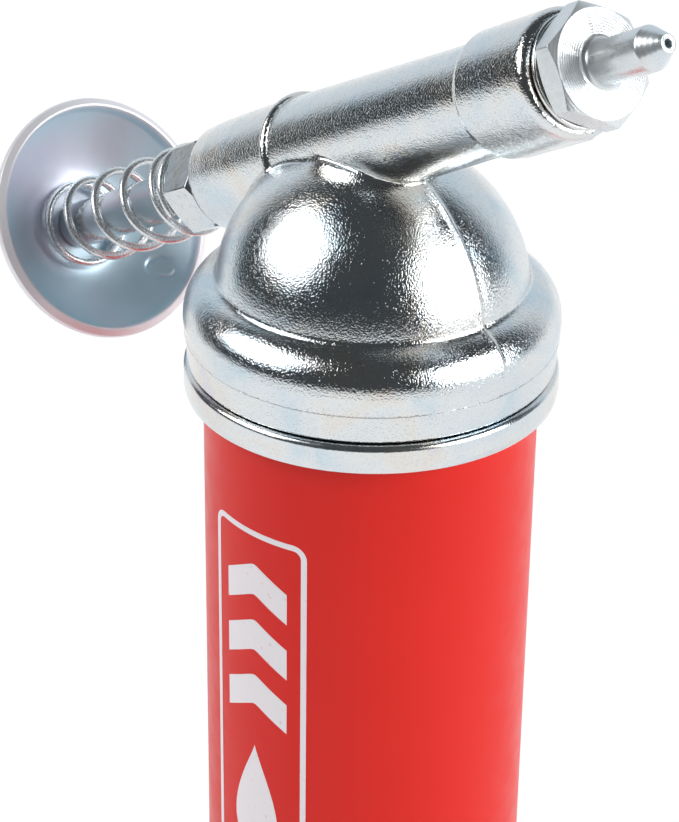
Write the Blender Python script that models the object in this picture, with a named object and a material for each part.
"""Palm-push grease gun: a tube reservoir with a spring-loaded follower, and a screwed-on pump head
whose inclined barrel holds the plunger, the check valve and the nozzle.

Origin: centre of the flat base. +Z runs up the tube. The barrel lies in the XZ plane and rises
towards +X, the nozzle end. Distances along the barrel (STATION) count from the tube's axis.
"""

import math

import bmesh
import bpy
from mathutils import Vector

MM = 0.001

# Driving dimensions, in millimetres
TUBE_R = 20.0
TUBE_WALL = 1.2
COLLAR_Z = 136.0            # underside of the collar ring
COLLAR_R = 22.3
COLLAR_H = 3.6
GAP = 0.3                   # clearance between neighbouring pieces

GASKET_H = 0.8
SKIRT_Z = COLLAR_Z + COLLAR_H + GASKET_H + 0.5
SKIRT_R = 21.9
SKIRT_BORE_R = TUBE_R + 0.5
TUBE_TOP_Z = COLLAR_Z + 11.5

ROLL_MID_R = 17.6           # centre of the rolled shoulder's section
ROLL_MID_Z = COLLAR_Z + 9.7
ROLL_R = 4.65
DOME_R = 18.6
DOME_MID_Z = COLLAR_Z + 12.2
DOME_WALL = 2.5

BARREL_Z = COLLAR_Z + 32.1  # where the barrel's axis crosses the tube's axis
BARREL_TILT = math.radians(29)
TAIL_S = -30.5
FRONT_S = 35.3
STEP_S = 23.2
BEAD_S = -12.7
TAIL_R = 6.9
MAIN_R = 6.3
FRONT_R = 7.15
BEAD_R = 7.3

ROD_R = 3.0
ROD_BORE_R = ROD_R + GAP
ROD_TIP_S = -3.0
GLAND_BORE_R = 4.7
CHAMBER_R = 4.5
CHAMBER_END_S = 3.3
PORT_R = 2.4
PORT_X = 1.5

PACKING_R = GLAND_BORE_R - GAP
PACKING_END_S = -21.6
PACKING_H = 3.0
PACKING_WASHER_H = 1.0
STOP_RING_S = -18.0
STOP_RING_H = 0.8
STOP_RING_R = CHAMBER_R - 0.4

GLAND_HEX_AF = 10.8
GLAND_HEX_H = 6.0
GLAND_COLLAR_R = 4.4
GLAND_COLLAR_H = 2.0
GLAND_SHANK_H = 5.5
GLAND_TURN = math.radians(-6)

VALVE_BORE_S = 21.3
VALVE_BORE_R = 4.6
SEAT_H = 1.7
SEAT_HOLE_R = 1.3
BALL_R = 2.0
BALL_S = VALVE_BORE_S + GAP + SEAT_H + 1.9
POCKET_R = 2.5
SHANK_S = 28.0
POCKET_END_S = 35.4

NOZZLE_WASHER_H = 0.6
NOZZLE_HEX_AF = 12.0
NOZZLE_HEX_S = FRONT_S + GAP + NOZZLE_WASHER_H + GAP
NOZZLE_FACE_S = 39.5
NOZZLE_R = 2.42
NOZZLE_CONE_S = 47.2
NOZZLE_TIP_S = 49.6
NOZZLE_TIP_R = 1.0
NOZZLE_HOLE_R = 0.45

DISC_R = 15.9
DISC_RIM_S = -60.0
DISC_SEAT_S = -67.6         # inner face of the dish's flat middle
DISC_FLAT_R = 6.2
DISC_LIP_R = 14.7
DISC_SHEET = 1.1
DISC_HOLE_R = 1.95
SCREW_R = 1.6
SCREW_HEAD_R = 4.2
SCREW_HEAD_H = 1.6

RETURN_WIRE = 1.05
RETURN_COIL_R = 5.35
RETURN_TURNS = 5.75
CHECK_WIRE = 0.5
CHECK_COIL_R = 1.6
CHECK_TURNS = 5.0
FOLLOWER_WIRE = 1.6
FOLLOWER_COIL_R = 15.8
FOLLOWER_TURNS = 8.0

BASE_FLANGE_R = 20.5
BASE_H = 1.4
BASE_PLUG_H = 6.0
VENT_R = 1.5
VENT_X = 9.0

FOLLOWER_Z = COLLAR_Z + 2.0  # underside of the follower plate, at the top of its travel
FOLLOWER_PLATE_R = 18.0
FOLLOWER_PLATE_H = 1.4
CUP_R = 18.5
CUP_BASE_H = 1.8
CUP_LIP_H = 5.0
CUP_LIP_W = 1.6
FOLLOWER_WASHER_R = 8.0
FOLLOWER_WASHER_H = 1.2
RIVET_R = 2.0
RIVET_HEAD_R = 3.6
RIVET_HEAD_H = 1.0

LARGE, MEDIUM, SMALL = 48, 32, 20   # segments round a turned piece


def clear_scene():
    for old in list(bpy.data.objects):
        bpy.data.objects.remove(old, do_unlink=True)


def make_material(name, colour, metallic, roughness):
    material = bpy.data.materials.new(name)
    material.use_nodes = True
    shader = material.node_tree.nodes["Principled BSDF"]
    shader.inputs["Base Color"].default_value = (*colour, 1.0)
    shader.inputs["Metallic"].default_value = metallic
    shader.inputs["Roughness"].default_value = roughness
    material.diffuse_color = (*colour, 1.0)
    return material


ZINC, CASTING, SPRING_STEEL, PALE_STEEL = "zinc", "casting", "spring_steel", "pale_steel"
RED_PAINT, BLACK_RUBBER, BRASS = "red_paint", "black_rubber", "brass"


def material_for(kind, node):
    """Each piece has its own material, made from its kind's values."""
    colour, metallic, roughness = {
        ZINC: ((0.78, 0.80, 0.82), 1.0, 0.25),
        CASTING: ((0.72, 0.75, 0.78), 1.0, 0.20),
        SPRING_STEEL: ((0.60, 0.62, 0.64), 1.0, 0.25),
        PALE_STEEL: ((0.55, 0.63, 0.70), 1.0, 0.30),
        RED_PAINT: ((0.80, 0.03, 0.02), 0.0, 0.30),
        BLACK_RUBBER: ((0.02, 0.02, 0.02), 0.0, 0.70),
        BRASS: ((0.80, 0.60, 0.25), 1.0, 0.30),
    }[kind]
    return make_material(node + "_finish", colour, metallic, roughness)


def new_empty(name, z_mm, tilt=0.0):
    empty = bpy.data.objects.new(name, None)
    bpy.context.collection.objects.link(empty)
    empty.location = (0, 0, z_mm * MM)
    empty.rotation_euler = (0, tilt, 0)
    return empty


def place(name, mesh, parent, kind):
    piece = bpy.data.objects.new(name, mesh)
    bpy.context.collection.objects.link(piece)
    piece.parent = parent
    if kind is None:
        piece.hide_render = True
        piece.display_type = "WIRE"
    else:
        mesh.materials.append(material_for(kind, name))
    return piece


def finish_mesh(name, bm):
    bmesh.ops.recalc_face_normals(bm, faces=bm.faces)
    mesh = bpy.data.meshes.new(name)
    bm.to_mesh(mesh)
    bm.free()
    mesh.shade_smooth()
    mesh.set_sharp_from_angle(angle=math.radians(35))
    return mesh


def turned(name, outline, parent, kind=None, segments=MEDIUM):
    """Solid of revolution about local Z. outline lists (radius, height) in millimetres: a closed loop
    for a ring, or an open line whose two ends lie on the axis."""
    bm = bmesh.new()
    corners = [bm.verts.new((r * MM, 0, z * MM)) for r, z in outline]
    edges = [bm.edges.new(pair) for pair in zip(corners, corners[1:])]
    if outline[0][0] > 0:
        edges.append(bm.edges.new((corners[-1], corners[0])))
    bmesh.ops.spin(bm, geom=corners + edges, axis=(0, 0, 1), cent=(0, 0, 0),
                   steps=segments, angle=math.tau, use_merge=True)
    bmesh.ops.remove_doubles(bm, verts=bm.verts, dist=1e-7)
    return place(name, finish_mesh(name, bm), parent, kind)


def prism(name, sides, corner_r, z0, z1, turn, parent, kind=None):
    """Upright prism about local Z, with its first corner at angle turn."""
    bm = bmesh.new()
    angles = [turn + math.tau * i / sides for i in range(sides)]
    ring = [bm.verts.new((corner_r * MM * math.cos(a), corner_r * MM * math.sin(a), z0 * MM)) for a in angles]
    base = bm.faces.new(ring)
    top = bmesh.ops.extrude_face_region(bm, geom=[base])["geom"]
    lifted = [v for v in top if isinstance(v, bmesh.types.BMVert)]
    bmesh.ops.translate(bm, verts=lifted, vec=(0, 0, (z1 - z0) * MM))
    return place(name, finish_mesh(name, bm), parent, kind)


def coil(name, coil_r, wire, z0, z1, turns, phase, steps, parent, kind):
    """Compression spring about local Z with one closed turn at each end. z0 and z1 are its outer ends."""
    low = z0 + wire / 2
    high = z1 - wire / 2
    closed = wire * 1.15
    active_pitch = (high - low - 2 * closed) / (turns - 2)
    count = round(turns * steps)
    curve = bpy.data.curves.new(name, "CURVE")
    curve.dimensions = "3D"
    curve.bevel_depth = wire / 2 * MM
    curve.bevel_resolution = 1
    curve.use_fill_caps = True
    line = curve.splines.new("POLY")
    line.points.add(count)
    for i in range(count + 1):
        t = turns * i / count
        z = low + closed * min(t, 1) + active_pitch * min(max(t - 1, 0), turns - 2) + closed * max(t - turns + 1, 0)
        angle = phase + math.tau * t
        line.points[i].co = (coil_r * MM * math.cos(angle), coil_r * MM * math.sin(angle), z * MM, 1)
    return place(name, curve, parent, kind)


def combine(target, other, operation):
    step = target.modifiers.new(operation.lower() + "_" + other.name, "BOOLEAN")
    step.operation = operation
    step.solver = "EXACT"
    step.object = other


def arc(mid_r, mid_z, radius, start_deg, end_deg, count):
    """Points on a circular arc in the (radius, height) plane, both ends included."""
    angles = [math.radians(start_deg + (end_deg - start_deg) * i / count) for i in range(count + 1)]
    return [(mid_r + radius * math.cos(a), mid_z + radius * math.sin(a)) for a in angles]


def rounded_ring(inner_r, outer_r, z0, z1, edge):
    """Closed outline of a flat ring whose two outer edges are chamfered by edge."""
    return [(inner_r, z0), (outer_r - edge, z0), (outer_r, z0 + edge),
            (outer_r, z1 - edge), (outer_r - edge, z1), (inner_r, z1)]


def chamfered_hex(name, across_flats, z0, z1, turn, face_r, parent, kind):
    """Hexagon whose corners are cut back at 30 degrees to a round face of face_r at both ends."""
    corner_r = across_flats / 2 / math.cos(math.pi / 6)
    drop = (corner_r + GAP - face_r) * math.tan(math.pi / 6)
    body = prism(name, 6, corner_r, z0, z1, turn, parent, kind)
    outline = [(0, z0), (face_r, z0), (corner_r + GAP, z0 + drop), (corner_r + GAP, z1 - drop), (face_r, z1), (0, z1)]
    combine(body, turned(name + "_chamfer", outline, parent), "INTERSECT")
    return body


def make_reservoir(root):
    inner_r = TUBE_R - TUBE_WALL
    bottom = BASE_H + GAP
    turned("reservoir_tube", [(inner_r, bottom), (TUBE_R, bottom), (TUBE_R, TUBE_TOP_Z), (inner_r, TUBE_TOP_Z)],
           root, RED_PAINT, LARGE)
    turned("collar_ring", rounded_ring(TUBE_R + GAP, COLLAR_R, COLLAR_Z, COLLAR_Z + COLLAR_H, 0.6),
           root, ZINC, LARGE)
    plug_r = inner_r - GAP
    plug_top = BASE_H + BASE_PLUG_H
    cap = turned("base_cap", [(0, 0), (BASE_FLANGE_R - 0.5, 0), (BASE_FLANGE_R, 0.5), (BASE_FLANGE_R, BASE_H),
                              (plug_r, BASE_H), (plug_r, plug_top), (plug_r - 0.9, plug_top),
                              (plug_r - 0.9, BASE_H), (0, BASE_H)], root, RED_PAINT, LARGE)
    vent = prism("base_vent_cutter", 16, VENT_R, -1, BASE_H + 1, 0, root)
    vent.location.x = VENT_X * MM
    combine(cap, vent, "DIFFERENCE")
    coil("follower_spring", FOLLOWER_COIL_R, FOLLOWER_WIRE, BASE_H + GAP, FOLLOWER_Z - GAP,
         FOLLOWER_TURNS, 0, 12, root, SPRING_STEEL)


def make_follower(follower):
    """Heights here are above the underside of the plate, on the follower's own empty."""
    hole_r = RIVET_R + GAP
    turned("follower_plate", rounded_ring(hole_r, FOLLOWER_PLATE_R, 0, FOLLOWER_PLATE_H, 0.3), follower, ZINC)
    cup_z = FOLLOWER_PLATE_H + GAP
    cup_top = cup_z + CUP_LIP_H
    turned("follower_cup", [(hole_r, cup_z), (CUP_R - 0.5, cup_z), (CUP_R, cup_z + 0.5), (CUP_R, cup_top),
                            (CUP_R - 0.5, cup_top), (CUP_R - CUP_LIP_W, cup_z + CUP_BASE_H),
                            (hole_r, cup_z + CUP_BASE_H)], follower, BLACK_RUBBER)
    washer_z = cup_z + CUP_BASE_H + GAP
    washer_top = washer_z + FOLLOWER_WASHER_H
    turned("follower_washer", rounded_ring(hole_r, FOLLOWER_WASHER_R, washer_z, washer_top, 0.3), follower, ZINC, SMALL)
    head_z = washer_top + GAP
    turned("follower_rivet", [(0, -GAP - RIVET_HEAD_H), (RIVET_HEAD_R - 0.4, -GAP - RIVET_HEAD_H),
                              (RIVET_HEAD_R, -GAP - 0.4), (RIVET_HEAD_R, -GAP), (RIVET_R, -GAP), (RIVET_R, head_z),
                              (RIVET_HEAD_R, head_z), (RIVET_HEAD_R, head_z + 0.4),
                              (RIVET_HEAD_R - 0.4, head_z + RIVET_HEAD_H), (0, head_z + RIVET_HEAD_H)],
           follower, ZINC, SMALL)


def make_gasket(gasket):
    """The gasket rides up with the head, so it hangs on its own empty at the collar's top."""
    turned("head_gasket", rounded_ring(TUBE_R + GAP, SKIRT_R - 0.6, 0.2, 0.2 + GASKET_H, 0.15),
           gasket, BLACK_RUBBER, LARGE)


def head_outline():
    """Skirt, rolled shoulder and dome, from the skirt's foot up to the crown."""
    roll_end = 76
    roll = arc(ROLL_MID_R, ROLL_MID_Z, ROLL_R, 0, roll_end, 6)
    dome_start = math.degrees(math.asin((roll[-1][1] - DOME_MID_Z) / DOME_R))
    dome = arc(0, DOME_MID_Z, DOME_R, dome_start, 90, 8)
    foot = [(0, SKIRT_Z), (SKIRT_R - 0.3, SKIRT_Z), (SKIRT_R, SKIRT_Z + 0.3), (SKIRT_R, SKIRT_Z + 2.2),
            (ROLL_MID_R + ROLL_R, SKIRT_Z + 2.6)]
    return foot + roll + dome[1:-1] + [(0, DOME_MID_Z + DOME_R)]


def head_cavity_outline():
    """Space under the dome, then the skirt's bore, down past the skirt's foot."""
    inner_r = DOME_R - DOME_WALL
    ceiling = DOME_MID_Z - 0.2
    crown = arc(0, DOME_MID_Z, inner_r, 90, 0, 5)
    return [(0, DOME_MID_Z + inner_r)] + crown[1:] + [(inner_r, ceiling), (SKIRT_BORE_R, ceiling),
                                                      (SKIRT_BORE_R, SKIRT_Z - 1), (0, SKIRT_Z - 1)]


def barrel_outline():
    bead_half = 0.65
    return [(0, TAIL_S), (TAIL_R - 0.9, TAIL_S), (TAIL_R - 0.4, TAIL_S + 0.5), (TAIL_R - 0.15, TAIL_S + 4),
            (TAIL_R, TAIL_S + 9), (TAIL_R, BEAD_S - bead_half - 0.2), (BEAD_R, BEAD_S - bead_half + 0.2),
            (BEAD_R, BEAD_S + bead_half - 0.2), (TAIL_R - 0.1, BEAD_S + bead_half + 0.2), (MAIN_R, STEP_S - 4),
            (MAIN_R, STEP_S - 1), (MAIN_R + 0.4, STEP_S), (FRONT_R, STEP_S + 1), (FRONT_R, FRONT_S - 1),
            (FRONT_R - 0.25, FRONT_S - 0.35), (FRONT_R - 0.75, FRONT_S), (0, FRONT_S)]


def barrel_bore_outline():
    return [(0, TAIL_S - 1), (GLAND_BORE_R, TAIL_S - 1), (GLAND_BORE_R, PACKING_END_S + PACKING_WASHER_H + 2 * GAP),
            (CHAMBER_R, PACKING_END_S + PACKING_WASHER_H + 2 * GAP), (CHAMBER_R, CHAMBER_END_S),
            (ROD_BORE_R, CHAMBER_END_S + 0.7), (ROD_BORE_R, VALVE_BORE_S), (VALVE_BORE_R, VALVE_BORE_S),
            (VALVE_BORE_R, FRONT_S + 1), (0, FRONT_S + 1)]


def make_head(head, barrel):
    # The cavity is cut before the barrel joins, so the barrel's underside stands into the dome as a boss.
    casting = turned("head_casting", head_outline(), head, CASTING, LARGE)
    combine(casting, turned("head_cavity_cutter", head_cavity_outline(), head, None, LARGE), "DIFFERENCE")
    combine(casting, turned("barrel_body", barrel_outline(), barrel), "UNION")
    combine(casting, turned("barrel_bore_cutter", barrel_bore_outline(), barrel, None, SMALL), "DIFFERENCE")
    port = prism("port_cutter", 16, PORT_R, COLLAR_Z + 20, BARREL_Z - 1, 0, head)
    port.location.x = PORT_X * MM
    combine(casting, port, "DIFFERENCE")


def make_gland(barrel):
    hex_front = TAIL_S - GAP
    hex_back = hex_front - GLAND_HEX_H
    collar_back = hex_back - GLAND_COLLAR_H
    nut = chamfered_hex("gland_nut", GLAND_HEX_AF, hex_back, hex_front, GLAND_TURN + math.pi / 2,
                        GLAND_HEX_AF / 2 - 0.1, barrel, ZINC)
    shank_r = GLAND_BORE_R - GAP
    core = turned("gland_core", [(0, collar_back), (GLAND_COLLAR_R - 0.6, collar_back),
                                 (GLAND_COLLAR_R, collar_back + 0.6), (GLAND_COLLAR_R, hex_front - 1),
                                 (shank_r, hex_front - 1), (shank_r, hex_front + GLAND_SHANK_H),
                                 (0, hex_front + GLAND_SHANK_H)], barrel, None, SMALL)
    combine(nut, core, "UNION")
    bore = turned("gland_bore_cutter", [(0, collar_back - 1), (ROD_BORE_R, collar_back - 1),
                                        (ROD_BORE_R, hex_front + GLAND_SHANK_H + 1),
                                        (0, hex_front + GLAND_SHANK_H + 1)], barrel, None, SMALL)
    combine(nut, bore, "DIFFERENCE")
    turned("rod_packing", rounded_ring(ROD_BORE_R, PACKING_R, PACKING_END_S - PACKING_H, PACKING_END_S, 0.4),
           barrel, BLACK_RUBBER, SMALL)
    washer_s = PACKING_END_S + GAP
    turned("packing_washer", rounded_ring(ROD_BORE_R, PACKING_R, washer_s, washer_s + PACKING_WASHER_H, 0.15),
           barrel, BRASS, SMALL)
    coil("return_spring", RETURN_COIL_R, RETURN_WIRE, DISC_SEAT_S + GAP, hex_back - GAP,
         RETURN_TURNS, math.pi, 14, barrel, SPRING_STEEL)


def make_nozzle(barrel):
    washer_s = FRONT_S + GAP
    turned("nozzle_washer", rounded_ring(VALVE_BORE_R, FRONT_R - 0.85, washer_s, washer_s + NOZZLE_WASHER_H, 0.15),
           barrel, ZINC)
    fitting = chamfered_hex("nozzle_fitting", NOZZLE_HEX_AF, NOZZLE_HEX_S, NOZZLE_FACE_S, 0,
                            NOZZLE_HEX_AF / 2 - 0.06, barrel, ZINC)
    shank_r = VALVE_BORE_R - GAP
    stem = [(0, SHANK_S), (shank_r, SHANK_S), (shank_r, NOZZLE_HEX_S + 1), (NOZZLE_R + 0.7, NOZZLE_HEX_S + 1),
            (NOZZLE_R + 0.7, NOZZLE_FACE_S)]
    stem += arc(NOZZLE_R + 0.7, NOZZLE_FACE_S + 0.7, 0.7, 270, 180, 3)[1:]
    stem += [(NOZZLE_R, NOZZLE_CONE_S), (NOZZLE_TIP_R + 0.1, NOZZLE_TIP_S - 0.12), (NOZZLE_TIP_R, NOZZLE_TIP_S),
             (0, NOZZLE_TIP_S)]
    combine(fitting, turned("nozzle_stem", stem, barrel, None, SMALL), "UNION")
    bore = [(0, SHANK_S - 1), (POCKET_R, SHANK_S - 1), (POCKET_R, POCKET_END_S),
            (NOZZLE_HOLE_R, POCKET_END_S + 1.2), (NOZZLE_HOLE_R, NOZZLE_TIP_S + 1), (0, NOZZLE_TIP_S + 1)]
    combine(fitting, turned("nozzle_bore_cutter", bore, barrel, None, SMALL), "DIFFERENCE")


def make_check_valve(barrel, ball_joint):
    seat_s = VALVE_BORE_S + GAP
    seat_r = VALVE_BORE_R - GAP
    seat_end = seat_s + SEAT_H
    turned("check_seat", [(SEAT_HOLE_R, seat_s), (seat_r, seat_s), (seat_r, seat_end),
                          (BALL_R, seat_end), (SEAT_HOLE_R, seat_end - 0.5)], barrel, BRASS, SMALL)
    ball = bmesh.new()
    bmesh.ops.create_uvsphere(ball, u_segments=14, v_segments=8, radius=BALL_R * MM)
    place("check_ball", finish_mesh("check_ball", ball), ball_joint, PALE_STEEL)
    coil("check_spring", CHECK_COIL_R, CHECK_WIRE, BALL_S + BALL_R + GAP, POCKET_END_S - GAP,
         CHECK_TURNS, 0, 9, barrel, SPRING_STEEL)


def disc_face(radius):
    """Station of the dish's inner face at a radius: flat in the middle, then curving up to the rim."""
    share = max(radius - DISC_FLAT_R, 0) / (DISC_LIP_R - DISC_FLAT_R)
    return DISC_SEAT_S + (DISC_RIM_S - 1.1 - DISC_SEAT_S) * share ** 1.7


def disc_outline():
    radii = [DISC_FLAT_R + (DISC_LIP_R - DISC_FLAT_R) * i / 5 for i in range(6)]
    inside = [(r, disc_face(r)) for r in radii]
    outside = [(r, disc_face(r) - DISC_SHEET) for r in radii]
    lip = arc(DISC_R - 0.6, DISC_RIM_S - 0.6, 0.6, 150, -30, 4)
    return [(DISC_HOLE_R, DISC_SEAT_S)] + inside + lip + outside[::-1] + [(DISC_HOLE_R, DISC_SEAT_S - DISC_SHEET)]


def make_plunger(plunger):
    rod_end = DISC_SEAT_S + GAP
    screw_hole = 7.0
    groove_r = ROD_R - 0.6
    groove_0 = STOP_RING_S - 0.2
    groove_1 = STOP_RING_S + STOP_RING_H + 0.2
    turned("plunger_rod", [(0, rod_end + screw_hole), (DISC_HOLE_R, rod_end + screw_hole), (DISC_HOLE_R, rod_end),
                           (ROD_R, rod_end), (ROD_R, groove_0), (groove_r, groove_0), (groove_r, groove_1),
                           (ROD_R, groove_1), (ROD_R, ROD_TIP_S - 0.5), (ROD_R - 0.5, ROD_TIP_S), (0, ROD_TIP_S)],
           plunger, ZINC, SMALL)
    turned("rod_stop_ring", rounded_ring(groove_r + GAP, STOP_RING_R, STOP_RING_S, STOP_RING_S + STOP_RING_H, 0.1),
           plunger, SPRING_STEEL, SMALL)
    turned("palm_disc", disc_outline(), plunger, PALE_STEEL, LARGE)
    head_top = DISC_SEAT_S - DISC_SHEET - GAP
    turned("disc_screw", [(0, head_top - SCREW_HEAD_H), (SCREW_HEAD_R - 1.4, head_top - SCREW_HEAD_H),
                          (SCREW_HEAD_R - 0.4, head_top - SCREW_HEAD_H + 0.5), (SCREW_HEAD_R, head_top - 0.4),
                          (SCREW_HEAD_R, head_top), (SCREW_R, head_top), (SCREW_R, rod_end + screw_hole - 1),
                          (0, rod_end + screw_hole - 1)], plunger, ZINC, SMALL)


def main():
    clear_scene()
    across = math.pi / 2 - BARREL_TILT
    root = new_empty("tube_axis", 0)
    gasket = new_empty("gasket_lift", COLLAR_Z + COLLAR_H)
    head = new_empty("head_axis", 0)
    follower = new_empty("follower_travel", FOLLOWER_Z)
    barrel = new_empty("barrel_axis", BARREL_Z, across)
    plunger = new_empty("plunger_travel", BARREL_Z, across)
    ball_joint = new_empty("ball_travel", 0)
    ball_joint.parent = barrel
    ball_joint.location = Vector((0, 0, BALL_S * MM))
    make_reservoir(root)
    make_follower(follower)
    make_gasket(gasket)
    make_head(head, barrel)
    make_gland(barrel)
    make_nozzle(barrel)
    make_check_valve(barrel, ball_joint)
    make_plunger(plunger)


main()
